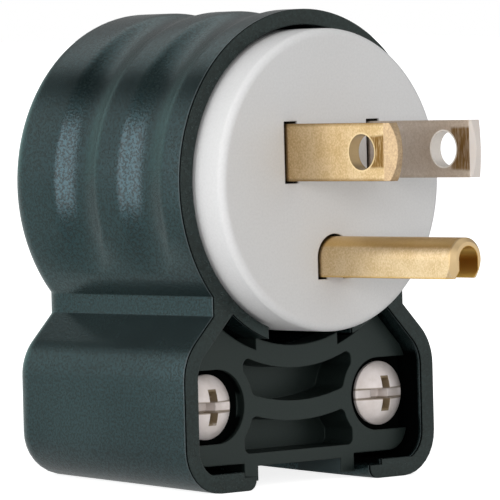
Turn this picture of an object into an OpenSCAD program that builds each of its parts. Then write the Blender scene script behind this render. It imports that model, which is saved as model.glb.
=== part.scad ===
// Right-angle grounded plug. A moulded housing with a drum-shaped head stands over a cord block,
// a round insulating face carries two flat blades and a U-shaped earth pin, and a clamp with two
// screws grips the cord. X runs across the plug, Y from the face at zero towards the back, Z up.

/* [Housing] */
// Width across the drum and across the cord block
body_width = 38.4; // [37.8:0.2:42]
// Depth of the housing from its front rim to its back
body_depth = 29.5; // [28.5:0.5:34]
// Wall of the drum
drum_wall = 1.75; // [1.5:0.05:2]
// Wall of the cord block
block_wall = 1.85; // [1.5:0.05:2.2]
// Back wall
back_wall = 2; // [1.6:0.1:2.6]
// Floor of the cord block
floor_wall = 2.1; // [1.6:0.1:2.6]
// Radius round the back edge
back_edge = 3; // [1.5:0.25:4]
// Height of the drum's axis above the front of the foot
axis_height = 34.25; // [33.75:0.25:38]
// Rise of the foot towards the back, in degrees
foot_slope = 2.4; // [0:0.2:3.6]
// Width of the neck between the drum and the block
neck_width = 29.2; // [28:0.2:31]
// Where the shoulders leave the neck, below the drum's axis
shoulder_start = 14.6; // [14:0.1:15.4]
// Radius of the block's shoulders
shoulder_radius = 6; // [4:0.25:7]
// Radius of the foot's corners
foot_radius = 5; // [3.5:0.25:6]
// Wall of the partition ring under the face
ring_wall = 1.25; // [1:0.05:1.4]
// Gap in the partition ring where the wires pass
wire_gap = 13; // [11:0.5:15]
// Width of the notch in the floor where the cord enters
notch_width = 17.7; // [16:0.1:19]
// Depth of that notch from the front rim
notch_depth = 23; // [20:0.5:24]

/* [Finger grooves] */
// Number of grooves round the drum
groove_count = 2; // [0:1:2]
// Middle of the first groove behind the rim
groove_start = 6.8; // [6:0.1:8.5]
// Spacing of the grooves
groove_pitch = 10.8; // [9.5:0.1:12]
// Depth of a groove
groove_depth = 0.8; // [0.3:0.05:0.95]
// Radius of a groove's section
groove_radius = 7.2; // [6:0.2:9]
// Radius that rounds the crests beside a groove
crest_radius = 3.3; // [1:0.1:4.5]
// Angle from the top of the drum at which a groove starts to run out
groove_runout = 105; // [95:1:109]

/* [Face and contacts] */
// How far the face stands proud of the rim
face_proud = 4.2; // [3:0.1:5]
// Depth of the face body
face_depth = 12; // [10.5:0.25:13]
// Radius round the edge of the face
face_edge = 0.9; // [0.4:0.1:1.4]
// Clearance between the face and the rim
face_gap = 0.5; // [0.3:0.05:0.7]
// Spacing of the two blades
blade_spacing = 12.7; // [12.5:0.05:12.9]
// Width of a blade
blade_width = 6.35; // [6.1:0.05:6.6]
// Thickness of a blade
blade_thickness = 1.5; // [1.4:0.05:1.6]
// Length of the hot blade in front of the face
hot_length = 17.2; // [15.9:0.1:18.2]
// Length of the neutral blade in front of the face
neutral_length = 16.6; // [15.9:0.1:18.2]
// Height of the blades' line above the drum's axis
blade_rise = 3.24; // [2.8:0.02:3.6]
// Distance of a blade's hole from the face
blade_hole_reach = 11.9; // [11.4:0.1:12.4]
// Diameter of a blade's hole
blade_hole = 3.9; // [3.6:0.1:4.1]
// Drop of the earth pin below the blades' line
pin_drop = 11.9; // [11.6:0.05:12.1]
// Width of the earth pin
pin_width = 4.78; // [4.6:0.02:4.9]
// Length of the earth pin in front of the face
pin_length = 20.9; // [20:0.1:21.4]
// Wall of the earth pin
pin_wall = 0.95; // [0.8:0.05:1.1]
// Reach of the pin's legs below its axis
pin_legs = 2.1; // [1.8:0.05:2.4]
// Clearance of the contacts in the face
slot_gap = 0.27; // [0.15:0.01:0.35]

/* [Terminals] */
// Retainer disc behind the face
retainer_disc = 2.5; // [2:0.1:3]
// Length of a terminal tab behind the retainer disc
tab_length = 9; // [8.5:0.25:9.5]
// Diameter of a terminal screw
terminal_screw = 3.5; // [3:0.1:4]
// Diameter of a terminal screw's head
terminal_head = 6.6; // [6.2:0.1:7]
// Side of a wire clamp plate
plate_side = 6.8; // [6.4:0.1:7]
// Thickness of a wire clamp plate
plate_thickness = 1.4; // [1.2:0.05:1.5]

/* [Cord clamp] */
// Distance of the clamp's front below the rim
clamp_recess = 2.3; // [1.8:0.1:3]
// Thickness of the clamp's plate
clamp_plate = 3.2; // [2.6:0.1:3.6]
// Depth of the cored pockets
pocket_depth = 4.6; // [3.6:0.1:5]
// Skin between a pocket and the cord
saddle_skin = 1.4; // [1.1:0.1:2]
// Width of the rib above the first pocket
top_rib = 2.4; // [2:0.1:2.8]
// Height of the first pocket
pocket_height = 3.7; // [3.2:0.1:4]
// Width of the rib between the pockets
middle_rib = 2.25; // [1.6:0.05:2.4]
// Width of the rib below the second pocket
bottom_rib = 1.45; // [1.2:0.05:1.8]
// Width of the pockets
pocket_width = 16.8; // [15:0.1:17.2]
// Radius of the pockets' corners
pocket_corner = 0.8; // [0.4:0.1:1]
// Distance of a clamp screw from the side of the block
screw_inset = 5.8; // [5.6:0.1:6.4]
// Height of the clamp screws above the foot
screw_height = 9.42; // [9:0.02:10]
// Diameter of a clamp screw's head
screw_head = 7.3; // [6.6:0.1:7.4]
// Height of a clamp screw's head
screw_head_height = 1.8; // [1.6:0.1:2.2]
// Diameter of a clamp screw
screw_size = 3.7; // [3.2:0.1:4]

/* [Hidden] */
$fn = 96;

// Cutters reach past the face they cut by this much
past = 0.6;
// Thickness of a slice that a loft runs through
slice = 0.01;
// Radial room of a screw in the hole that it holds in, and in a hole that it passes through
thread_fit = 0.05;
pass_fit = 0.2;

// Planes along the depth
rim = face_proud;
back = rim + body_depth;
back_inner = back - back_wall;
tab_end = face_depth + retainer_disc + tab_length;

// Radii of the drum, measured from its axis
drum_radius = body_width / 2;
rim_radius = drum_radius - drum_wall;
face_radius = rim_radius - face_gap;
ring_radius = rim_radius + ring_wall;

// Neck and block
neck_half = neck_width / 2;
block_half = body_width / 2;
shoulder_z = neck_half - shoulder_start - block_half - shoulder_radius * (sqrt(2) - 1);
foot_rise = tan(foot_slope);
neck_edge = 1.05 * back_edge;
neck_lap = 1.5;
neck_depth = 2;
neck_cover = 0.3;
neck_top = sqrt(pow(drum_radius - groove_depth - neck_cover, 2) - pow(neck_half, 2));
floor_front = -axis_height + floor_wall;
seat_width = 1.85;
seat_half = notch_width / 2 + seat_width;
seat_step = 0.6;

// Length over which a groove leaves the drum along a straight line
runout_length = sqrt(pow(drum_radius, 2) - pow(drum_radius - groove_depth, 2)) + past;

// Contacts
hot_x = -blade_spacing / 2;
pin_z = blade_rise - pin_drop;
pin_radius = pin_width / 2;
pin_inner = pin_radius - pin_wall;
tip_thickness = 0.7;
hot_bevel = 1.85;
hot_tip_radius = 5.2;
neutral_bevel = 0.7;
neutral_tip_radius = 11;
ear_reach = 1.5;
ear_depth = 1.5;
ear_front = face_depth - ear_depth;
tab_half = 3.6;
tab_top = pin_z + pin_radius;
tab_bottom = tab_top - pin_wall;
terminal_setback = 4;
terminal_y = tab_end - terminal_setback;
terminal_head_height = 1.9;
terminal_end = 0.6;
barrier_wall = 1.5;

// Assembly screw on the drum's axis
assembly_size = 3.8;
assembly_head = 7;
assembly_head_height = 2.3;
assembly_tip = 5;
centre_boss = 6;
boss_length = 4.7;
boss_front = back_inner - boss_length;
post_radius = 3.3;
head_gap = 0.4;
head_sunk = 0.2;

// Cord clamp
clamp_front = rim + clamp_recess;
clamp_seat = clamp_front + clamp_plate;
clamp_gap = 0.4;
ring_gap = 1.15;
clamp_top = ring_radius + ring_gap;
tongue_gap = 0.2;
tongue_half = wire_gap / 2 - tongue_gap;
tongue_rise = 0.15;
tongue_top = ring_radius - tongue_rise;
foot_gap = 0.75;
clamp_bottom = floor_front + foot_gap;
lip_depth = 1;
lip_gap = 0.15;
lip_bottom = floor_front + foot_rise * (clamp_seat - rim) + lip_gap;
leg_gap = 0.35;
leg_width = 2.05;
leg_outer = notch_width / 2 - leg_gap;
leg_inner = leg_outer - leg_width;
leg_drop = 1.3;
leg_bottom = floor_front - leg_drop;
cord_lift = 0.35;
cord_edge = floor_front + cord_lift;
screw_spacing = body_width - 2 * screw_inset;
screw_x = screw_spacing / 2;
screw_z = screw_height - axis_height;
head_room = 0.5;
counterbore = screw_head / 2 + head_room;
counterbore_shift = 0.95;
counterbore_x = screw_x - counterbore_shift;
pocket_web = 1.35;
seat_depth = 1.2;
head_seat = clamp_front + seat_depth;
boss_radius = 3.5;
boss_web = 1.6;
channel_room = 1.4;
channel_half = pocket_width / 2 + channel_room;
channel_wall = 1.4;
channel_top = past - ring_radius;
saddle_half = channel_half - clamp_gap;
saddle_centre = clamp_front + pocket_depth + saddle_skin;
arch_radius = 19;
saddle_drop = 0.6;
tooth_height = 0.7;
tooth_pitch = 4.4;
pilot_depth = 14;
pilot_room = 1;
screw_length = clamp_seat - head_seat + pilot_depth - pilot_room;

// Points of an arc about a centre
function arc(centre, radius, from, to, steps = 8) =
    [for (i = [0 : steps]) let (a = from + (to - from) * i / steps) centre + radius * [cos(a), sin(a)]];

// A list of points followed by its mirror image across the middle plane
function both_sides(points) =
    concat(points, [for (i = [len(points) - 1 : -1 : 0]) [-points[i].x, points[i].y]]);

// Level of the foot at a depth
function foot(y) = -axis_height + foot_rise * (y - rim);

// Right half of the block's shoulder line, moved in by a wall, and of its foot corner above a bottom line
function shoulder_line(inset) =
    concat([[neck_half - inset - neck_lap, neck_lap - shoulder_start - inset * (sqrt(2) - 1)]],
           arc([block_half - shoulder_radius, shoulder_z], shoulder_radius - inset, 45, 0));
function foot_corner(inset, bottom) =
    let (corner = foot_radius - inset)
    arc([block_half - foot_radius, bottom + corner], corner, 0, -90);

// Outline of the cord block
function block_outline(inset, bottom) =
    both_sides(concat(shoulder_line(inset), foot_corner(inset, bottom)));

// Extrude an outline drawn in X and Z along the depth
module along_y(from, to) {
    translate([0, to, 0])
        rotate([90, 0, 0])
            linear_extrude(to - from)
                children();
}

// Extrude an outline drawn in Y and Z across the plug
module along_x(from, to) {
    translate([from, 0, 0])
        rotate([90, 0, 90])
            linear_extrude(to - from)
                children();
}

// Revolve a profile drawn in radius and depth about the drum's axis
module turned() {
    rotate([-90, 0, 0])
        rotate_extrude()
            children();
}

// Cylinder along the depth
module rod(radius, from, to, x = 0, z = 0) {
    translate([x, from, z])
        rotate([-90, 0, 0])
            cylinder(r = radius, h = to - from);
}

// Rectangle from the origin with its far corner rounded
module rounded_corner(size, radius) {
    square([size.x - radius, size.y]);
    square([size.x, size.y - radius]);
    translate([size.x - radius, size.y - radius])
        circle(radius);
}

// Profile of a drum with a rounded back edge
module drum_profile(radius) {
    translate([0, rim])
        rounded_corner([radius, body_depth], back_edge);
}

// Section of a finger groove in radius and depth: a hollow arc between two rounded crests
function groove_section(y) =
    let (span = groove_radius + crest_radius)
    let (half = sqrt(pow(span, 2) - pow(span - groove_depth, 2)))
    let (turn = asin(half / span))
    let (crest = arc([drum_radius - crest_radius, y - half], crest_radius, 0, turn, 4))
    let (hollow = arc([drum_radius - groove_depth + groove_radius, y], groove_radius, 180 + turn, 180, 4))
    let (lead = 2 * crest[0] - crest[1])
    let (side = concat([[drum_radius + past, lead.y], lead], [crest[1], crest[2], crest[3]], hollow))
    concat(side, [for (i = [len(side) - 2 : -1 : 0]) [side[i].x, 2 * y - side[i].y]]);

// Cutter of one groove: round the drum as far as the run-out, then straight on until it has left the drum
module groove_cutter(y) {
    rotate([-90, 0, 0]) {
        rotate([0, 0, -90 - groove_runout])
            rotate_extrude(angle = 2 * groove_runout)
                polygon(groove_section(y));
        for (side = [0, 1])
            mirror([side, 0, 0])
                rotate([0, 0, groove_runout - 90])
                    translate([0, runout_length, 0])
                        rotate([90, 0, 0])
                            linear_extrude(runout_length)
                                polygon(groove_section(y));
    }
}

// The drum with its finger grooves
module grooved_drum() {
    difference() {
        turned()
            drum_profile(drum_radius);
        for (i = [0 : 1 : groove_count - 1])
            groove_cutter(rim + groove_start + i * groove_pitch);
    }
}

// Neck under the drum, with its back corners rounded
module neck() {
    translate([0, rim, -shoulder_start - neck_depth])
        linear_extrude(shoulder_start + neck_depth - neck_top)
            for (side = [0, 1])
                mirror([side, 0])
                    rounded_corner([neck_half, body_depth], neck_edge);
}

// A thin slice of the cord block
module block_slice(y, inset, bottom) {
    along_y(y - slice, y)
        polygon(block_outline(inset, bottom));
}

// The cord block: a loft from the rim to the rounded back edge
module cord_block() {
    steps = 8;
    hull() {
        block_slice(rim + slice, 0, foot(rim));
        for (i = [0 : steps]) {
            turn = 90 * i / steps;
            inset = back_edge * (1 - cos(turn));
            y = back - back_edge * (1 - sin(turn));
            block_slice(y, inset, foot(y) + inset);
        }
    }
}

// Hollow of the cord block, with a floor that follows the foot and a step down beside the notch
module block_hollow() {
    intersection() {
        along_y(rim - past, back_inner)
            polygon(block_outline(block_wall, floor_front - past / 2));
        translate([-body_width, rim, floor_front])
            rotate([foot_slope, 0, 0])
                translate([0, -body_depth, 0])
                    cube([2 * body_width, 3 * body_depth, axis_height]);
    }
    translate([-seat_half, rim - past, floor_front - seat_step])
        cube([2 * seat_half, clamp_plate + clamp_recess + past / 2, seat_step + past]);
}

// What stands in the block's hollow: screw bosses with webs, channel walls and cord ribs
module block_islands() {
    for (side = [-1, 1]) {
        rod(boss_radius, clamp_seat, back, side * screw_x, screw_z);
        translate([side > 0 ? screw_x : -block_half, clamp_seat, screw_z - boss_web / 2])
            cube([screw_inset, back - clamp_seat, boss_web]);
        translate([side > 0 ? channel_half : -channel_half - channel_wall, clamp_seat, -axis_height])
            cube([channel_wall, back - clamp_seat, axis_height + channel_top]);
    }
    for (z = [screw_z - tooth_pitch, screw_z, screw_z + tooth_pitch])
        cord_rib(z);
}

// A rib across the back of the cord channel, hollowed for the cord
module cord_rib(z) {
    rib = 1.4;
    reach = 2.4;
    hollow = 0.76 * notch_width;
    hollow_depth = 1;
    difference() {
        translate([-channel_half - channel_wall / 2, back_inner - reach, z - rib / 2])
            cube([2 * channel_half + channel_wall, reach + past, rib]);
        translate([0, back_inner - reach - hollow + hollow_depth, z - rib])
            cylinder(r = hollow, h = 2 * rib);
    }
}

// Notch in the floor: straight sides, rounded lower edges and rounded back corners
module cord_notch() {
    lip = 1.2;
    half = notch_width / 2;
    end = rim + notch_depth;
    corner = 4;
    intersection() {
        along_y(rim - past, end)
            polygon(both_sides(concat(
                [[half, floor_front + 2 * past]],
                arc([half + lip, lip - axis_height], lip, 180, 270),
                [[half + lip, -axis_height - past]])));
        translate([0, 0, -axis_height - past])
            linear_extrude(floor_wall + 4 * past)
                polygon(both_sides(concat(
                    [[half + 2 * lip, rim - past], [half + 2 * lip, end - corner]],
                    [[half, end - corner]],
                    arc([half - corner, end - corner], corner, 0, 90))));
    }
}

// Hollow of the drum, with the boss of the assembly screw and ribs that centre the face
module drum_hollow() {
    rib = 1.5;
    rib_front = rim + 4.5;
    difference() {
        rod(rim_radius, rim - past, back_inner);
        rod(centre_boss, boss_front, back);
        for (turn = [45, 135, 225, 315])
            rotate([0, turn, 0])
                translate([face_radius + thread_fit, rib_front, -rib / 2])
                    cube([face_gap, back - rib_front, rib]);
    }
}

module housing() {
    color([0.19, 0.24, 0.25])
    difference() {
        union() {
            grooved_drum();
            neck();
            cord_block();
        }
        drum_hollow();
        difference() {
            block_hollow();
            rod(ring_radius, rim - 2 * past, back);
            block_islands();
        }
        translate([-wire_gap / 2, rim - past, -ring_radius - past])
            cube([wire_gap, boss_front - rim, ring_wall + 4 * past]);
        cord_notch();
        for (side = [-screw_x, screw_x])
            rod(screw_size / 2 + thread_fit, clamp_seat - past, clamp_seat + pilot_depth, side, screw_z);
        rod(assembly_size / 2 + pass_fit, boss_front - past, back);
        rod(assembly_head / 2 + head_gap, back - assembly_head_height, back + past);
    }
}

// Outline of the earth pin's U section, grown by a clearance, about its own axis
module pin_section(grow = 0) {
    difference() {
        union() {
            circle(pin_radius + grow);
            translate([-pin_radius - grow, -pin_legs - grow])
                square([2 * (pin_radius + grow), pin_legs + grow]);
        }
        circle(pin_inner - grow);
        translate([grow - pin_inner, -pin_legs - 2 * past])
            square([2 * (pin_inner - grow), pin_legs + 2 * past]);
    }
}

// Room for one blade through a piece, with its ears if wanted
module blade_room(x, from, to, ears) {
    half = blade_width / 2 + slot_gap + (ears ? ear_reach : 0);
    width = blade_thickness + 2 * slot_gap;
    translate([x - width / 2, from, blade_rise - half])
        cube([width, to - from, 2 * half]);
}

// Room for the flat tab of the earth pin
module tab_room(from, to, half) {
    translate([-half - slot_gap, from, tab_bottom - slot_gap])
        cube([2 * (half + slot_gap), to - from, pin_wall + 2 * slot_gap]);
}

module face_body() {
    color([0.88, 0.88, 0.87])
    difference() {
        turned()
            translate([0, face_depth])
                mirror([0, 1])
                    rounded_corner([face_radius, face_depth], face_edge);
        for (side = [-1, 1]) {
            blade_room(side * blade_spacing / 2, -past, face_depth + past, false);
            blade_room(side * blade_spacing / 2, ear_front - slot_gap, face_depth + past, true);
        }
        along_y(-past, face_depth + past)
            translate([0, pin_z])
                pin_section(slot_gap);
        tab_room(ear_front - slot_gap, face_depth + past, tab_half + ear_reach);
        rod(assembly_size / 2 + thread_fit, assembly_tip - past, face_depth + past);
    }
}

module terminal_retainer() {
    disc_back = face_depth + retainer_disc;
    disc_radius = face_radius - face_gap;
    wall_reach = sqrt(pow(disc_radius, 2) - pow(barrier_wall, 2));
    color([0.82, 0.82, 0.8])
    difference() {
        union() {
            rod(disc_radius, face_depth, disc_back);
            rod(post_radius, face_depth, boss_front);
            translate([-wall_reach, disc_back - slice, -post_radius])
                cube([2 * wall_reach, tab_length + slice, barrier_wall]);
            translate([-barrier_wall / 2, disc_back - slice, -post_radius])
                cube([barrier_wall, tab_length + slice, post_radius + wall_reach]);
        }
        rod(assembly_size / 2 + pass_fit, face_depth - past, back);
        for (side = [-1, 1])
            blade_room(side * blade_spacing / 2, face_depth - past, disc_back + past, false);
        tab_room(face_depth - past, disc_back + past, tab_half);
    }
}

// One flat blade with its ears and terminal tab, an arc at its tip and a bevel on both faces
module flat_blade(x, length, bevel, tip_radius) {
    half = blade_width / 2;
    tip = -length;
    difference() {
        along_x(x - blade_thickness / 2, x + blade_thickness / 2)
            translate([0, blade_rise])
                union() {
                    intersection() {
                        translate([tip, -half])
                            square([length + tab_end, blade_width]);
                        union() {
                            translate([tip + tip_radius, 0])
                                circle(tip_radius);
                            translate([tip + tip_radius, -half])
                                square([tab_end - tip - tip_radius, blade_width]);
                        }
                    }
                    translate([ear_front, -half - ear_reach])
                        square([ear_depth, blade_width + 2 * ear_reach]);
                }
        for (side = [-1, 1])
            translate([x, 0, blade_rise - half - past])
                linear_extrude(blade_width + 2 * past)
                    polygon([[side * tip_thickness / 2, tip - slice],
                             [side * blade_thickness / 2, tip + bevel],
                             [side * blade_thickness, tip + bevel],
                             [side * blade_thickness, tip - slice]]);
        translate([x - blade_thickness, -blade_hole_reach, blade_rise])
            rotate([0, 90, 0])
                cylinder(d = blade_hole, h = 2 * blade_thickness);
        translate([x - blade_thickness, terminal_y, blade_rise])
            rotate([0, 90, 0])
                cylinder(r = terminal_screw / 2 + pass_fit, h = 2 * blade_thickness);
    }
}

module hot_blade() {
    color([0.79, 0.64, 0.38])
        flat_blade(hot_x, hot_length, hot_bevel, hot_tip_radius);
}

module neutral_blade() {
    color([0.62, 0.59, 0.55])
        flat_blade(-hot_x, neutral_length, neutral_bevel, neutral_tip_radius);
}

// The folded earth pin: a U section with a coned nose, ears, and a flat tab for its terminal
module earth_pin() {
    nose = 1.9;
    wide = pin_radius + pin_legs;
    color([0.79, 0.64, 0.38])
    difference() {
        union() {
            intersection() {
                along_y(-pin_length, face_depth)
                    translate([0, pin_z])
                        pin_section();
                union() {
                    translate([0, -pin_length, pin_z])
                        rotate([-90, 0, 0])
                            cylinder(r1 = nose, r2 = wide, h = wide - nose);
                    rod(wide, wide - nose - pin_length - slice, face_depth, 0, pin_z);
                }
            }
            translate([-pin_inner, ear_front, tab_bottom])
                cube([2 * pin_inner, tab_end - ear_front, pin_wall]);
            translate([-tab_half - ear_reach, ear_front, tab_bottom])
                cube([2 * (tab_half + ear_reach), ear_depth, pin_wall]);
            translate([-tab_half, face_depth - slice, tab_bottom])
                cube([2 * tab_half, tab_end - face_depth + slice, pin_wall]);
        }
        translate([0, terminal_y, tab_bottom - past])
            cylinder(r = terminal_screw / 2 + pass_fit, h = pin_wall + 2 * past);
    }
}

// A screw along +Z from the underside of its head: a domed head, a slot across it and a coned cross recess
module screw(size, length, head, height) {
    edge = 0.2 * height;
    rise = height - edge;
    dome = (pow(head / 2, 2) + pow(rise, 2)) / (2 * rise);
    slot = 0.155 * head;
    slot_depth = 0.72 * height;
    cross = 0.27 * head;
    cross_depth = 0.33 * head;
    difference() {
        union() {
            cylinder(d = size, h = length);
            rotate([180, 0, 0])
                rotate_extrude()
                    polygon(concat([[0, 0], [head / 2, 0]],
                                   arc([0, height - dome], dome, acos(head / 2 / dome), 90)));
        }
        translate([-head, -slot / 2, -height - past])
            cube([2 * head, slot, slot_depth + past]);
        intersection() {
            union() {
                translate([-slot / 2, -head, -height - past])
                    cube([slot, 2 * head, 2 * head]);
                translate([-head, -slot / 2, -height - past])
                    cube([2 * head, slot, 2 * head]);
            }
            translate([0, 0, -height - slice])
                cylinder(r1 = cross, r2 = 0.45 * cross, h = cross_depth);
        }
    }
}

// A terminal screw, from the tab to just past its wire clamp
module terminal(thickness) {
    screw(terminal_screw, thickness + plate_thickness + terminal_end, terminal_head, terminal_head_height);
}

module hot_terminal_screw() {
    color([0.8, 0.65, 0.36])
        translate([hot_x - blade_thickness / 2, terminal_y, blade_rise])
            rotate([0, 90, 0])
                terminal(blade_thickness);
}

module neutral_terminal_screw() {
    color([0.75, 0.74, 0.72])
        translate([blade_thickness / 2 - hot_x, terminal_y, blade_rise])
            rotate([0, -90, 0])
                terminal(blade_thickness);
}

module earth_terminal_screw() {
    color([0.16, 0.45, 0.25])
        translate([0, terminal_y, tab_bottom])
            terminal(pin_wall);
}

// A square plate that the terminal screw draws up, with a groove on each side to hold the wires
module wire_clamp() {
    wire_place = 0.36 * plate_side;
    wire_radius = 0.7;
    wire_lift = 0.35;
    difference() {
        translate([-plate_side / 2, -plate_side / 2, 0])
            cube([plate_side, plate_side, plate_thickness]);
        translate([0, 0, -past])
            cylinder(r = terminal_screw / 2 + thread_fit, h = plate_thickness + 2 * past);
        for (side = [-1, 1])
            translate([side * wire_place, -plate_side, -wire_lift])
                rotate([-90, 0, 0])
                    cylinder(r = wire_radius, h = 2 * plate_side);
    }
}

module hot_wire_clamp() {
    color([0.8, 0.65, 0.36])
        translate([hot_x + blade_thickness / 2, terminal_y, blade_rise])
            rotate([0, 90, 0])
                wire_clamp();
}

module neutral_wire_clamp() {
    color([0.75, 0.74, 0.72])
        translate([-hot_x - blade_thickness / 2, terminal_y, blade_rise])
            rotate([0, -90, 0])
                wire_clamp();
}

module earth_wire_clamp() {
    color([0.8, 0.65, 0.36])
        translate([0, terminal_y, tab_top])
            wire_clamp();
}

// Outline of the clamp's plate: the block's inside less a gap, under the ring, with a tongue, and two legs
// either side of the edge over the cord
module clamp_outline() {
    difference() {
        polygon(block_outline(block_wall + clamp_gap, clamp_bottom));
        circle(clamp_top);
    }
    difference() {
        translate([-tongue_half, -clamp_top - past])
            square([2 * tongue_half, clamp_top / 2]);
        circle(tongue_top);
    }
    translate([-leg_outer, cord_edge])
        square([2 * leg_outer, clamp_bottom - cord_edge + past]);
    for (side = [-1, 1])
        translate([side > 0 ? leg_inner : -leg_outer, leg_bottom])
            square([leg_outer - leg_inner, clamp_bottom - leg_bottom + past]);
}

// Outlines of the two cored pockets: arcs about the drum's axis with rounded corners
module pocket_outlines() {
    first = ring_radius + top_rib;
    second = first + pocket_height + middle_rib;
    offset(r = pocket_corner)
    offset(delta = -pocket_corner)
    difference() {
        union() {
            difference() {
                circle(first + pocket_height);
                circle(first);
            }
            difference() {
                translate([-pocket_width / 2, cord_edge + bottom_rib])
                    square([pocket_width, second]);
                circle(second);
            }
        }
        for (side = [-1, 1]) {
            translate([side * counterbore_x, screw_z])
                circle(counterbore + pocket_web);
            translate([side > 0 ? pocket_width / 2 : -pocket_width / 2 - body_width, -2 * axis_height])
                square([body_width, 3 * axis_height]);
        }
        translate([-body_width, 0])
            square([2 * body_width, body_width]);
        translate([-body_width, -2 * axis_height])
            square([2 * body_width, 2 * axis_height + cord_edge + bottom_rib]);
    }
}

// The saddle behind the plate, hollowed for the cord and toothed to hold it
module cord_saddle() {
    ends = saddle_centre + arch_radius - sqrt(pow(arch_radius, 2) - pow(saddle_half, 2));
    top = -clamp_top - saddle_drop;
    difference() {
        union() {
            translate([-saddle_half, clamp_seat - past, clamp_bottom])
                cube([2 * saddle_half, ends - clamp_seat, top - clamp_bottom]);
            for (side = [-1, 1])
                translate([side > 0 ? leg_inner : -leg_outer, clamp_seat - 2 * past, leg_bottom])
                    cube([leg_outer - leg_inner, ends - clamp_seat, clamp_bottom - leg_bottom + past]);
        }
        translate([0, saddle_centre + arch_radius, 0])
            rotate_extrude()
                polygon(concat(
                    [[0, leg_bottom - past], [arch_radius, leg_bottom - past]],
                    [for (i = [-1 : 1], p = [[0, -tooth_height], [-tooth_height, 0], [0, tooth_height]])
                        [arch_radius + p.x, screw_z + i * tooth_pitch + p.y]],
                    [[arch_radius, top + past], [0, top + past]]));
        for (side = [-screw_x, screw_x])
            rod(boss_radius + clamp_gap, clamp_seat, back, side, screw_z);
    }
}

// A lip at the back of the plate that closes the slit over the floor beside a leg
module clamp_lip() {
    translate([leg_outer - past, clamp_seat - lip_depth, lip_bottom])
        cube([block_half - foot_radius - leg_outer + past, lip_depth, clamp_bottom - lip_bottom + past]);
}

module cord_clamp() {
    color([0.18, 0.21, 0.2])
    difference() {
        union() {
            along_y(clamp_front, clamp_seat)
                clamp_outline();
            for (side = [0, 1])
                mirror([side, 0, 0])
                    clamp_lip();
            cord_saddle();
        }
        along_y(clamp_front - past, clamp_front + pocket_depth)
            pocket_outlines();
        for (side = [-1, 1]) {
            rod(counterbore, clamp_front - past, head_seat, side * counterbore_x, screw_z);
            translate([side > 0 ? counterbore_x : -body_width, clamp_front - past, screw_z - counterbore])
                cube([body_width - counterbore_x, head_seat - clamp_front + past, 2 * counterbore]);
            rod(screw_size / 2 + pass_fit, clamp_front - past, clamp_seat + past, side * screw_x, screw_z);
        }
    }
}

module clamp_screws() {
    color([0.84, 0.81, 0.79])
        for (side = [-1, 1])
            translate([side * screw_x, head_seat, screw_z])
                rotate([-90, 0, 0])
                    screw(screw_size, screw_length, screw_head, screw_head_height);
}

module assembly_screw() {
    head_under = back - assembly_head_height;
    head_height = assembly_head_height - head_sunk;
    color([0.84, 0.81, 0.79])
        translate([0, head_under, 0])
            rotate([90, 0, 0])
                screw(assembly_size, head_under - assembly_tip, assembly_head, head_height);
}

housing();
face_body();
terminal_retainer();
hot_blade();
neutral_blade();
earth_pin();
hot_terminal_screw();
neutral_terminal_screw();
earth_terminal_screw();
hot_wire_clamp();
neutral_wire_clamp();
earth_wire_clamp();
cord_clamp();
clamp_screws();
assembly_screw();
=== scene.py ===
import math

import bmesh
import bpy
import numpy as np
from mathutils import Matrix


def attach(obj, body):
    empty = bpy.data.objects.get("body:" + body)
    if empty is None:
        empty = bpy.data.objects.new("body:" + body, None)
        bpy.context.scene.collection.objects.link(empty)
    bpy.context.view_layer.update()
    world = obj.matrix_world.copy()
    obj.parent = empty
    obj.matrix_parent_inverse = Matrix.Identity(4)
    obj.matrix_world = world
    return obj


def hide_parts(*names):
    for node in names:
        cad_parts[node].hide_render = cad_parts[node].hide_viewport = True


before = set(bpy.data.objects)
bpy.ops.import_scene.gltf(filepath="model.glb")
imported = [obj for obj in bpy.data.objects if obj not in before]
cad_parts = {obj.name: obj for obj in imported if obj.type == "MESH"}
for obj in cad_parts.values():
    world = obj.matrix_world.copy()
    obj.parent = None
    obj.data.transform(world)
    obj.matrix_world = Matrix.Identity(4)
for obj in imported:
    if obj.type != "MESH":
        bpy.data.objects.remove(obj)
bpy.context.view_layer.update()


# Housing: one moulding of black nylon, a drum with two finger grooves over the cord block.
# It leaves the mould with a fine satin grain outside and a flat, duller parting face in front.
# Every other piece goes into it from the front, apart from one screw at the back.

MM = 0.001


def mm(*sizes):
    """Sizes written in millimetres, as a tuple in metres."""
    return tuple(size * MM for size in sizes)


class Shade:
    """A shader socket. Arithmetic on it adds Math nodes; node() adds any other node."""

    def __init__(self, tree, socket=None):
        self.tree = tree
        self.socket = socket

    def node(self, kind, inputs=None, out=0, **settings):
        """A node of that type: settings first, then a value or a link for each input socket."""
        made = self.tree.nodes.new("ShaderNode" + kind)
        for key, value in settings.items():
            setattr(made, key, value)
        for key, value in (inputs or {}).items():
            if isinstance(value, Shade):
                self.tree.links.new(value.socket, made.inputs[key])
            else:
                made.inputs[key].default_value = value
        return Shade(self.tree, made.outputs[out])

    def maths(self, operation, first, second=0.0):
        """A Math node on one or two values."""
        return self.node("Math", {0: first, 1: second}, operation=operation)

    def __add__(self, other):
        return self.maths("ADD", self, other)

    __radd__ = __add__

    def __sub__(self, other):
        return self.maths("SUBTRACT", self, other)

    def __rsub__(self, other):
        return self.maths("SUBTRACT", other, self)

    def __mul__(self, other):
        return self.maths("MULTIPLY", self, other)

    __rmul__ = __mul__

    def __abs__(self):
        return self.maths("ABSOLUTE", self)

    def step(self, low, high):
        """A smooth 0 to 1 as the value goes from low to high."""
        return self.node("MapRange", {"Value": self, "From Min": low, "From Max": high},
                         interpolation_type="SMOOTHSTEP")

    def mix(self, low, high):
        """The colour between low at 0 and high at 1."""
        return self.node("Mix", {"Factor": self, 6: low, 7: high}, out=2, data_type="RGBA")


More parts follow.
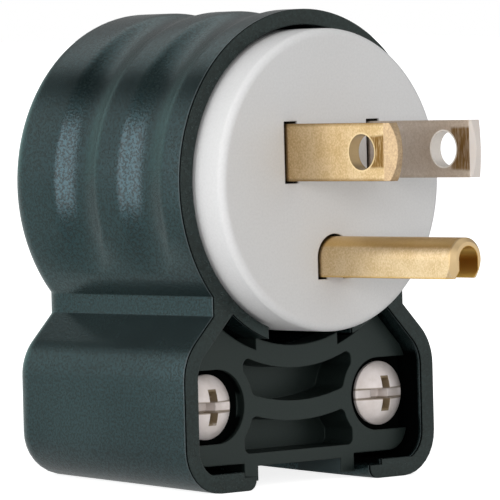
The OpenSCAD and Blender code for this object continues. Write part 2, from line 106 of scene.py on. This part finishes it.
def rgb(red, green, blue):
    """A colour written as the eye sees it, 0 to 255, in the linear values that shaders use."""
    share = np.array([red, green, blue]) / 255
    linear = np.where(share <= 0.04045, share / 12.92, ((share + 0.055) / 1.055) ** 2.4)
    return (*linear.tolist(), 1.0)


def finish_of(name, fixed):
    """A new material with the shader's fixed sockets set. Gives it, its maths and its shader."""
    material = bpy.data.materials.new(name)
    material.use_nodes = True
    shader = material.node_tree.nodes["Principled BSDF"]
    for socket, value in fixed.items():
        shader.inputs[socket].default_value = value
    return material, Shade(material.node_tree), shader


def feed(shade, shader, **links):
    """Links what varies to the shader's sockets, whose names have _ for a space."""
    for socket, value in links.items():
        shade.tree.links.new(value.socket, shader.inputs[socket.replace("_", " ")])


def own_place(shade):
    """The piece's own coordinates, which are the frame's, in metres."""
    return shade.node("TexCoord", out=3)


def xyz(shade, place):
    """The x, y and z of a place or a direction, as three values."""
    split = shade.node("SeparateXYZ", {"Vector": place}).socket.node
    return [Shade(shade.tree, output) for output in split.outputs]


def noise(shade, place, scale, detail=2.0, roughness=0.5):
    """Noise at a place, with features about 1 / scale metres across."""
    return shade.node("TexNoise", {"Vector": place, "Scale": scale, "Detail": detail,
                                   "Roughness": roughness})


def relief(shade, height, strength, depth, rounding):
    """The normal of bumps, height times depth by the share strength, on edges of that rounding."""
    soft = shade.node("Bevel", {"Radius": rounding}, samples=6)
    return shade.node("Bump", {"Strength": strength, "Distance": depth, "Height": height,
                               "Normal": soft})


def moulded(name, dark, light, roughness, grain, fixed):
    """Moulded plastic: a slow change of colour with the flow, a fine grain of that strength, soft
    edges. Gives the material, its maths, its x, y and z, the fine noise and the linked sockets."""
    material, shade, shader = finish_of(name, fixed)
    place = own_place(shade)
    flow = noise(shade, place, 90.0, 3.0)
    fine = noise(shade, place, 3700.0)
    links = {"Base_Color": (flow * 0.3 + fine * 0.7).step(0.3, 0.7).mix(dark, light),
             "Roughness": flow * 0.12 + (roughness - 0.06),
             "Normal": relief(shade, fine, grain, 0.05 * MM, 0.22 * MM)}
    feed(shade, shader, **links)
    return material, shade, xyz(shade, place), fine, links


def cover(shade, factor, fixed, links):
    """Lays a second finish over the present one where factor is 1."""
    surface = shade.tree.nodes["Material Output"].inputs["Surface"]
    below = Shade(shade.tree, surface.links[0].from_socket)
    above = shade.node("BsdfPrincipled", fixed)
    feed(shade, above.socket.node, **links)
    joined = shade.node("MixShader", {0: factor, 1: below, 2: above})
    shade.tree.links.new(joined.socket, surface)


def dull(shade, factor, fine, dark, light):
    """Lays a finish without gloss where factor is 1, from dark to light with the fine noise."""
    cover(shade, factor, {"Specular IOR Level": 0.0}, {"Base_Color": fine.mix(dark, light)})


def polished(node, material, crisp=False):
    """A merged copy of a CAD node stands for it, shaded smooth where its faces meet at less than
    smooth_below. With crisp, the larger faces keep their own normals up to their edges."""
    merge_within, smooth_below = 0.002 * MM, math.radians(24.0)
    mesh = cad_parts[node].data.copy()
    work = bmesh.new()
    work.from_mesh(mesh)
    bmesh.ops.remove_doubles(work, verts=work.verts, dist=merge_within)
    work.to_mesh(mesh)
    work.free()
    mesh.attributes.remove(mesh.attributes["custom_normal"])
    mesh.shade_smooth()
    mesh.set_sharp_from_angle(angle=smooth_below)
    mesh.materials.clear()
    mesh.materials.append(material)
    piece = bpy.data.objects.new(node + "_surface", mesh)
    bpy.context.scene.collection.objects.link(piece)
    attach(piece, "root")
    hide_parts(node)
    if crisp:
        weighted = piece.modifiers.new("weighted", "WEIGHTED_NORMAL")
        weighted.keep_sharp = True


satin = {"Specular IOR Level": 0.76, "Specular Tint": (0.48, 0.92, 1.0, 1.0)}
satin_grain = {"Specular IOR Level": 0.33, "Specular Tint": (0.72, 1.0, 1.0, 1.0)}
flat_face = {"Specular IOR Level": 0.42, "Specular Tint": (0.82, 1.0, 0.94, 1.0)}
# The near black of painted shade, used for the rim's dark line and the block's hollow
painted_shade_black = rgb(2, 3, 3), rgb(5, 6, 6)

# Depths at which the rim, from the back to the front, has each of its finishes: a painted
# highlight on its rounded outer edge, a painted shade line, and the flat parting face
painted_highlight_edge, painted_shade_line, parting_face = mm(4.66, 4.58), mm(4.48, 4.43), mm(4.25, 4.22)

# The block's hollow on both sides of the cord channel, inside the walls, as deep as the clamp,
# painted near black: painted shade
channel_side, wall_inside = mm(9.4, 9.6), mm(17.45, 17.4)
behind_rim, clamp_seat = mm(4.6, 5.0), mm(10.2, 9.9)
floor_top, shoulder = mm(-32.75, -32.6), mm(-19.5, -20.5)

black_nylon, shade, (x, y, z), fine, links = moulded(
    "black_nylon", rgb(1, 3, 3), rgb(28, 39, 39), roughness=0.26, grain=0.5, fixed=satin)
hollow = (abs(x).step(*channel_side) * abs(x).step(*wall_inside) * y.step(*behind_rim)
          * y.step(*clamp_seat) * z.step(*floor_top) * z.step(*shoulder))
cover(shade, fine.step(0.41, 0.59), satin_grain, links)
# A painted highlight along the rim's rounded outer edge
cover(shade, y.step(*painted_highlight_edge) * 0.4, {"Specular IOR Level": 0.5},
      {"Base_Color": fine.mix(rgb(72, 82, 84), rgb(96, 106, 108))})
# A painted shade line between the rim's rounded edge and its front
dull(shade, y.step(*painted_shade_line), fine, *painted_shade_black)
# The block's hollow: painted near black, painted shade
dull(shade, hollow, fine, *painted_shade_black)
cover(shade, y.step(*parting_face), flat_face, links)
polished("housing", black_nylon)


# Blades and earth pin: strip stamped, holed and bevelled at the tip, the earth strip folded to a U.
# The hot blade and the pin are bare brass, the neutral blade is nickel plated. All are tumbled
# to a fine grain, and the blades are darker along their long edges. Painted on: a pale highlight
# ring round each hole, darker clouds on the hot blade's bevel as painted shade, and painted shade
# along the pin's crown and lower edge.

blade_height, hole_place = mm(3.24, -11.9)


def dress(material, *nodes):
    """Gives CAD nodes their finish."""
    for node in nodes:
        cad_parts[node].data.materials.clear()
        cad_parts[node].data.materials.append(material)


def tumbled(shade, place, base, mottle):
    """Tumbled strip: a fine grain under slow clouds. Gives its colour, the grain and the clouds."""
    grain = noise(shade, place, 4200.0, 3.0, 0.7)
    cloud = noise(shade, place, 420.0, 3.0, 0.6)
    return (grain * 0.65 + cloud * 0.35).step(0.36, 0.64).mix(base, mottle), grain, cloud


def plated(shade, shader, colour, grain, cloud, roughness):
    """Finishes a strip: its colour, a roughness that follows the clouds, grain and soft edges."""
    feed(shade, shader, Base_Color=colour, Roughness=cloud * 0.15 + roughness,
         Normal=relief(shade, grain, 0.12, 0.03 * MM, 0.12 * MM))


def blade_metal(name, base, mottle, rim, stain, start, half, bevel, tip, edge, bore, pale,
                roughness):
    """A blade: long edges darker by the share edge, the hole's wall by the share bore, a ring round
    the hole painted pale, by the share pale, as a painted highlight where a chamfer would catch the
    light, and a stain of fine lines across the blade, from start to the bevel at tip, half its
    height each way. The bevel is painted darker in clouds, painted shade that holds down its glint."""
    long_edge, ring_edge, hole_wall = mm(2.75, 3.1), mm(2.18, 2.1), mm(1.975, 1.955)
    fade, wander, turn = mm(0.4, 0.5, 0.05)
    material, shade, shader = finish_of(name, {"Metallic": 1.0})
    place = own_place(shade)
    colour, grain, cloud = tumbled(shade, place, base, mottle)
    _, y, z = xyz(shade, place)
    off, along = abs(z - blade_height), y - hole_place
    from_hole = shade.maths("SQRT", along * along + off * off)
    ring_highlight = from_hole.step(*ring_edge)
    drawn_out = shade.node("Mapping", {"Vector": place, "Scale": (1.0, 5.0, 0.5)})
    lines = noise(shade, drawn_out, 1500.0).step(0.25, 0.6) * 0.6 + 0.4
    stained = y.step(start, start - fade) * (off + cloud * wander).step(half + fade, half)
    clouded = ((grain * 0.6 + cloud * 0.4).step(0.3, 0.7) * 0.6).mix(bevel, base)
    colour = (off.step(*long_edge) * edge).mix(colour, stain)
    colour = (stained * lines).mix(colour, stain)
    # The ring round the hole: a painted highlight, where a chamfer would catch the light
    colour = (ring_highlight * 0.8).mix(colour, rim)
    colour = (from_hole.step(*hole_wall) * bore).mix(colour, stain)
    # The tip's bevel: darker clouds, painted shade that holds down its glint
    colour = y.step(tip + turn, tip - turn).mix(colour, clouded)
    # Less metal in the ring, so that the painted highlight reads pale
    if pale:
        feed(shade, shader, Metallic=1.0 - ring_highlight * pale)
    plated(shade, shader, colour, grain, cloud, roughness)
    return material


def pin_metal(name, base, mottle, crown, bevel, tarnish, roughness):
    """The folded pin: a crown and lower edge painted darker, painted shade along its rounded top
    and bottom, a bright tip, and a tarnished hollow, which is all that lies nearer than its wall to
    the fold's axis, or below that to the middle plane."""
    crown_line, lower_edge, tip = mm(-7.55, -7.15), mm(-10.45, -10.7), mm(-20.15, -20.25)
    fold_height, hollow_wall = -8.66 * MM, mm(1.54, 1.45)
    material, shade, shader = finish_of(name, {"Metallic": 1.0})
    place = own_place(shade)
    colour, grain, cloud = tumbled(shade, place, base, mottle)
    x, y, z = xyz(shade, place)
    rise = shade.maths("MAXIMUM", z - fold_height, 0.0)
    from_fold = shade.maths("SQRT", x * x + rise * rise)
    # Crown and lower edge: painted shade along the pin's rounded top and bottom
    colour = ((z.step(*crown_line) + z.step(*lower_edge)) * 0.75).mix(colour, crown)
    colour = y.step(*tip).mix(colour, bevel)
    colour = from_fold.step(*hollow_wall).mix(colour, tarnish)
    plated(shade, shader, colour, grain, cloud, roughness)
    return material


brass_strip = blade_metal(
    "brass_strip", base=rgb(224, 198, 158), mottle=rgb(196, 166, 118), rim=rgb(232, 208, 164),
    stain=rgb(124, 92, 46), start=-13.0 * MM, half=1.8 * MM, bevel=rgb(158, 134, 108),
    tip=-15.35 * MM, edge=0.6, bore=0.55, pale=0.0, roughness=0.3)
nickel_strip = blade_metal(
    "nickel_strip", base=rgb(230, 218, 208), mottle=rgb(212, 198, 184), rim=rgb(242, 238, 233),
    stain=rgb(146, 116, 72), start=-12.9 * MM, half=2.4 * MM, bevel=rgb(222, 215, 209),
    tip=-15.9 * MM, edge=0.15, bore=0.1, pale=0.7, roughness=0.26)
pin_brass = pin_metal(
    "pin_brass", base=rgb(234, 210, 172), mottle=rgb(208, 180, 134), crown=rgb(218, 178, 106),
    bevel=rgb(228, 198, 150), tarnish=rgb(206, 164, 84), roughness=0.3)
dress(brass_strip, "hot_blade")
dress(nickel_strip, "neutral_blade")
dress(pin_brass, "earth_pin")


# Terminals: a screw and a square plate for each wire, brass on the hot side, plated on the
# neutral side, and a green screw for earth. They are turned and stamped, and sit behind the face.

def turned_metal(name, light, dark, roughness, metal=1.0, recess=None):
    """Turned and plated metal: fine marks and a faint change of shade. recess gives the place, half
    width and reach of the driven recess's upright arms, and their tarnish."""
    material, shade, shader = finish_of(name, {"Metallic": metal})
    place = own_place(shade)
    cloud = noise(shade, place, 700.0, 3.0)
    colour = cloud.step(0.35, 0.65).mix(dark, light)
    if recess:
        across, height, half, reach, tarnish = recess
        side_blur, root_blur, end_blur = mm(0.05, 0.15, 0.1)
        x, _, z = xyz(shade, place)
        beside, off = abs(abs(x) - across), abs(z - height)
        arm = (beside.step(half + side_blur, half) * off.step(half, half + root_blur)
               * off.step(reach + end_blur, reach))
        slot_edge = abs(off - half).step(*mm(0.16, 0.08))
        colour = (arm * cloud.step(0.1, 0.4)).mix(colour, tarnish)
        colour = (slot_edge * 0.7).mix(colour, tarnish)
        feed(shade, shader, Metallic=(1.0 - arm) * metal)
    feed(shade, shader, Base_Color=colour, Roughness=cloud * 0.12 + roughness,
         Normal=relief(shade, cloud, 0.08, 0.03 * MM, 0.15 * MM))
    return material


brass_screw = turned_metal("brass_screw", rgb(206, 172, 112), rgb(180, 144, 84), roughness=0.22)
plated_steel = turned_metal("plated_steel", rgb(226, 219, 212), rgb(200, 192, 184), roughness=0.2)
green_steel = turned_metal("green_steel", rgb(60, 130, 80), rgb(44, 104, 62), roughness=0.3)
dress(brass_screw, "hot_terminal_screw", "hot_wire_clamp", "earth_wire_clamp")
dress(plated_steel, "neutral_terminal_screw", "neutral_wire_clamp")
dress(green_steel, "earth_terminal_screw")


# Face and retainer: two mouldings of white nylon that hold the contacts by their ears.
# The face stands proud of the housing's rim, and one screw from the back draws the stack together.
# No light gets into the gaps between the face's slots and the contacts, so their walls are
# painted dark: painted shade.

blade_side, pin_height = mm(6.35, -8.85)
below_face = mm(0.05, 0.4)
blade_slot_half, blade_slot_reach = mm(1.4, 1.3), mm(4.0, 3.9)
pin_slot_half, pin_slot_reach = mm(3.1, 3.0), mm(3.5, 3.4)
white_nylon, shade, (x, y, z), fine, _ = moulded(
    "white_nylon", rgb(228, 228, 228), rgb(234, 234, 234), roughness=0.5, grain=0.08,
    fixed={"Specular IOR Level": 0.2})
blade_slot = (abs(abs(x) - blade_side).step(*blade_slot_half)
              * abs(z - blade_height).step(*blade_slot_reach))
pin_slot = abs(x).step(*pin_slot_half) * abs(z - pin_height).step(*pin_slot_reach)
# The slots' walls: painted dark, painted shade
dull(shade, y.step(*below_face) * (blade_slot + pin_slot), fine, rgb(46, 42, 36), rgb(60, 54, 46))
polished("face_body", white_nylon, crisp=True)
dress(white_nylon, "terminal_retainer")
dress(plated_steel, "assembly_screw")


# Cord clamp: a black nylon moulding with cored pockets, drawn on to the cord by two screws.
# Its screw wells are painted dull black, painted shade, and the inner walls of its legs a lighter
# slate grey, painted light.
# The screws have plated heads with a slot and a cross recess.

well_side, well_depth = mm(8.4, 8.6), mm(6.7, 7.2)
leg_side, leg_depth, leg_top = mm(6.6, 6.5), mm(6.6, 6.7), mm(-31.0, -31.3)
clamp_nylon, shade, (x, y, z), fine, _ = moulded(
    "clamp_nylon", rgb(20, 26, 25), rgb(26, 33, 31), roughness=0.4, grain=0.2, fixed=flat_face)
painted_shade_well = abs(x).step(*well_side) * y.step(*well_depth)
painted_light_leg_wall = abs(x).step(*leg_side) * y.step(*leg_depth) * z.step(*leg_top)
# The screw wells: painted dull black, painted shade
dull(shade, painted_shade_well, fine, rgb(3, 4, 4), rgb(8, 10, 9))
# The legs' inner walls: a lighter slate grey, painted light
cover(shade, painted_light_leg_wall, flat_face, {"Base_Color": fine.mix(rgb(50, 61, 63), rgb(56, 68, 70))})
dress(clamp_nylon, "cord_clamp")

screw_place, screw_height, slot_half, arm_reach = mm(13.4, -24.83, 0.56, 1.97)
bright_steel = turned_metal(
    "bright_steel", rgb(252, 243, 240), rgb(240, 230, 225), roughness=0.4, metal=0.4,
    recess=(screw_place, screw_height, slot_half, arm_reach, rgb(134, 116, 88)))
polished("clamp_screws", bright_steel)


# Stage: a pale floor under the sloping foot, which isn't part of the object, in a white surround
# whose dim ceiling shows only in gloss. Two soft lamps light everything, and three bright cards
# show only in the housing or only in the contacts.

foot_depth, foot_level, foot_clearance = mm(4.2, -34.25, 0.02)
foot_rise = math.tan(math.radians(2.4))


def stage_floor(reach, steps):
    """A flat sheet just under the foot: its height is the level of the foot's front edge plus the
    foot's rise times the distance behind that edge."""
    line = np.linspace(-reach, reach, steps)
    across, along = np.meshgrid(line, line)
    height = foot_level + foot_rise * (along - foot_depth) - foot_clearance
    points = np.stack([across, along, height], axis=-1).reshape(-1, 3)
    corner = (np.arange(steps - 1)[:, None] * steps + np.arange(steps - 1)[None, :]).ravel()
    faces = np.stack([corner, corner + 1, corner + steps + 1, corner + steps], axis=-1)
    mesh = bpy.data.meshes.new("floor")
    mesh.from_pydata(points.tolist(), [], faces.tolist())
    return mesh


def rays(shade):
    """Two values, each 0 or 1: whether the camera sees it, and whether gloss or glass shows it."""
    seen, glossy, through = (shade.node("LightPath", out=output) for output in (0, 3, 6))
    return seen, glossy + through


def grey(level):
    """A grey of that linear level."""
    return (level, level, level, 1.0)


floor = bpy.data.objects.new("floor", stage_floor(1.5, 5))
bpy.context.scene.collection.objects.link(floor)
floor_paint, paint, shell = finish_of(
    "floor_paint", {"Base Color": grey(0.7), "Roughness": 0.9, "Specular IOR Level": 0.0})
place = own_place(paint)
seen, mirrored = rays(paint)
from_foot = paint.node("VectorMath", {0: place}, out=1, operation="LENGTH")
glow = from_foot.step(0.05, 0.16).mix(grey(0.84), grey(1.0))
behind = xyz(paint, place)[1].step(0.03, 0.06)
mirrored_glow = behind.mix(grey(0.92), (0.7, 0.92, 0.9, 1.0))
feed(paint, shell, Emission_Color=seen.mix(mirrored_glow, glow),
     Emission_Strength=seen + mirrored * 0.4)
floor.data.materials.append(floor_paint)

scene = bpy.context.scene
scene.view_settings.view_transform = "Standard"
world = bpy.data.worlds.new("surround")
scene.world = world
world.use_nodes = True
sky = Shade(world.node_tree)
seen, mirrored = rays(sky)
across, along, height = xyz(sky, sky.node("TexCoord", out=0))
# In gloss: a white wall up to the ceiling, which is less dim on the right and in front
ceiling = across.step(-0.3, 0.2) * 0.28 + along.step(0.2, -0.4) * 0.45 + 0.06
wall = 1.0 - (height + across * 0.5).step(0.24, 0.54) * (1.0 - ceiling)
tint = (along.step(0.78, 0.95) * mirrored).mix(grey(1.0), (0.72, 1.0, 0.97, 1.0))
# On everything: an even light, stronger from the right
ambient = across.step(-1.0, 1.0) * 0.28 + 0.4
level = sky.node("Clamp", {"Value": seen + mirrored * wall + (1.0 - seen - mirrored) * ambient})
feed(sky, world.node_tree.nodes["Background"], Color=tint, Strength=level)


def direction(azimuth, elevation):
    """The way towards a point at that azimuth, 0 in front of the face, and elevation."""
    a, e = math.radians(azimuth), math.radians(elevation)
    return np.array([math.sin(a) * math.cos(e), -math.cos(a) * math.cos(e), math.sin(e)])


def axes_to(back):
    """Right, up and back axes of something that looks along -back: right is level, up is square to
    the other two."""
    right = np.cross([0.0, 0.0, 1.0], back)
    right = right / np.linalg.norm(right)
    return right, np.cross(back, right), back


def placed(right, up, back, place):
    """The matrix with those axes at that place."""
    matrix = np.eye(4)
    matrix[:3, 0], matrix[:3, 1], matrix[:3, 2], matrix[:3, 3] = right, up, back, place
    return Matrix(matrix.tolist())


middle = np.array(mm(0.0, 12.0, -6.0))
white = (1.0, 1.0, 1.0)
dark_pieces = bpy.data.collections.new("dark_pieces")
dark_pieces.objects.link(bpy.data.objects["housing_surface"])
strip_pieces = bpy.data.collections.new("strip_pieces")
for node in ("hot_blade", "neutral_blade", "earth_pin"):
    strip_pieces.objects.link(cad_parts[node])
for name, azimuth, elevation, distance, width, height, power, colour, shown_in in (
        ("key_lamp", -43.0, 3.0, 1.4, 0.6, 0.6, 6.9, white, None),
        ("side_lamp", -92.0, 8.0, 0.7, 0.4, 0.4, 2.6, white, None),
        ("side_card", -106.0, 11.7, 0.125, 0.07, 0.105, 0.077, (1.0, 0.8, 0.86), dark_pieces),
        ("top_card", 150.0, 58.0, 0.7, 0.7, 0.5, 0.8, (0.92, 1.0, 1.0), dark_pieces),
        ("strip_card", -106.0, 8.0, 0.125, 0.07, 0.105, 0.034, (1.0, 0.97, 0.92), strip_pieces)):
    lamp = bpy.data.lights.new(name, "AREA")
    lamp.shape = "RECTANGLE"
    lamp.size, lamp.size_y, lamp.energy, lamp.color = width, height, power, colour
    holder = bpy.data.objects.new(name, lamp)
    scene.collection.objects.link(holder)
    holder.visible_camera = False
    holder.visible_glossy = shown_in is not None
    holder.visible_diffuse = shown_in is None
    holder.light_linking.receiver_collection = shown_in
    aim = direction(azimuth, elevation)
    holder.matrix_world = placed(*axes_to(aim), middle + distance * aim)


# Camera: a long lens to the left of the face and a little above its middle.
# Its place and focal length follow from the standard spacing and width of the contacts.

azimuth, elevation, roll = -42.991, 1.992, math.radians(-1.401)
target = np.array(mm(0.0, 8.0, -4.76))
shift_right, shift_up, distance = mm(-4.018, -3.041, 583.301)
focal_px, frame_px, sensor = 5172.366, 500, 36.0
right, up, back = axes_to(direction(azimuth, elevation))
place = target + shift_right * right + shift_up * up + distance * back
lens = bpy.data.cameras.new("camera")
lens.sensor_width = sensor
lens.lens = sensor * focal_px / frame_px
lens.clip_start, lens.clip_end = 0.01, 20.0
camera = bpy.data.objects.new("camera", lens)
scene.collection.objects.link(camera)
camera.matrix_world = placed(math.cos(roll) * right + math.sin(roll) * up,
                             math.cos(roll) * up - math.sin(roll) * right, back, place)
scene.camera = camera
